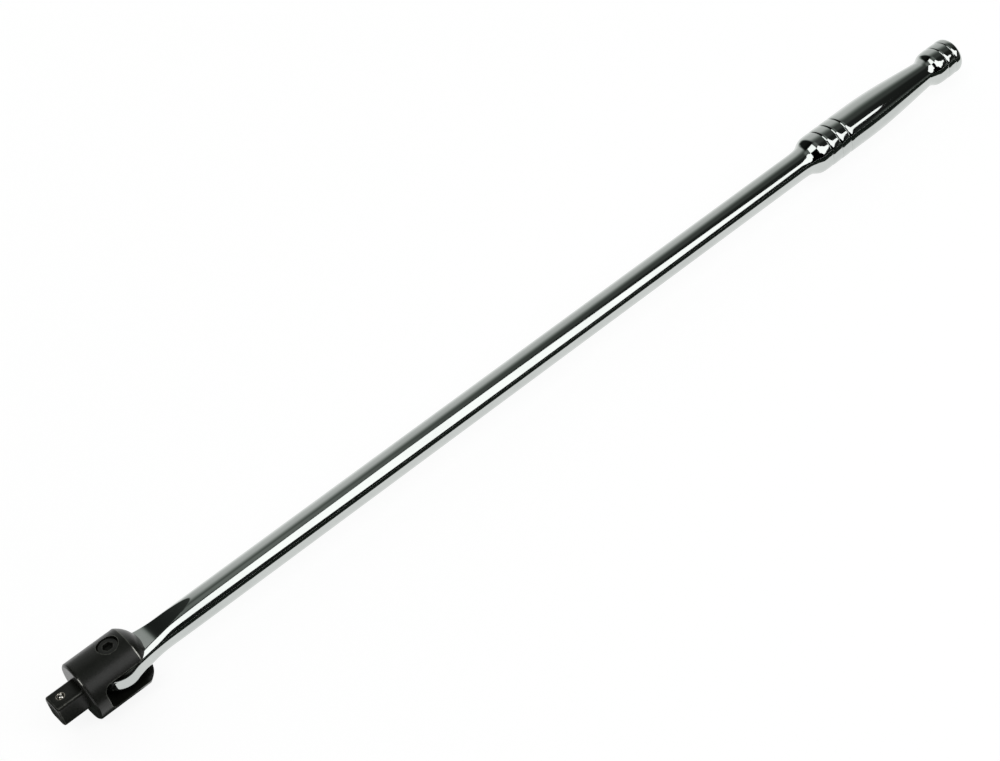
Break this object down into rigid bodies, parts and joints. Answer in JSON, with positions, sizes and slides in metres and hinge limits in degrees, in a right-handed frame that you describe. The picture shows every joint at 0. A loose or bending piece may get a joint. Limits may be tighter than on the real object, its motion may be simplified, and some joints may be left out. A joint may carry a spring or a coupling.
{
  "type": "breaker bar",
  "caption": "Long half-inch-drive breaker bar: chromed round bar with a turned grip and a blackened forked drive head that swings on a pivot screw.",
  "frame": {"origin": "centre of the flat end face of the male drive square", "axes": "+X along the bar from the drive square to the grip end, +Z along the pivot screw towards its socket head and out of the face that carries the socket ball, +Y completes the right-handed set"},
  "size_m": [0.635, 0.0322, 0.0322],
  "materials": {
    "polished_chrome": "polished chrome plate over the forged and turned bar",
    "black_phosphate": "dark grey-black phosphate and oil on forged steel, rubbed lighter on its edges",
    "black_screw": "black oxide",
    "bright_ball": "polished bearing steel",
    "spring_steel": "oiled spring steel"
  },
  "bodies": {
    "bar": {"handle_bar": "polished_chrome", "detent_spring": "spring_steel"},
    "head": {"drive_head": "black_phosphate", "pivot_screw": "black_screw", "upper_friction_washer": "spring_steel", "lower_friction_washer": "spring_steel", "socket_ball_spring": "spring_steel"},
    "socket_ball": {"socket_ball": "bright_ball"},
    "detent_ball": {"detent_ball": "bright_ball"}
  },
  "joints": [
    {"name": "head_pivot", "type": "hinge", "parent": "bar", "child": "head", "pos_m": [0.0366, 0, 0], "axis": [0, 0, 1], "range_deg": [-100, 100]},
    {"name": "socket_ball_travel", "type": "slide", "parent": "head", "child": "socket_ball", "axis": [0, 0, -1], "range_m": [0, 0.0009], "stiffness_N_per_m": 2500, "springref_m": -0.001, "deforming": ["socket_ball_spring"]},
    {"name": "detent_ball_travel", "type": "slide", "parent": "bar", "child": "detent_ball", "axis": [1, 0, 0], "range_m": [0, 0.0008], "stiffness_N_per_m": 3000, "springref_m": -0.001, "deforming": ["detent_spring"]}
  ]
}
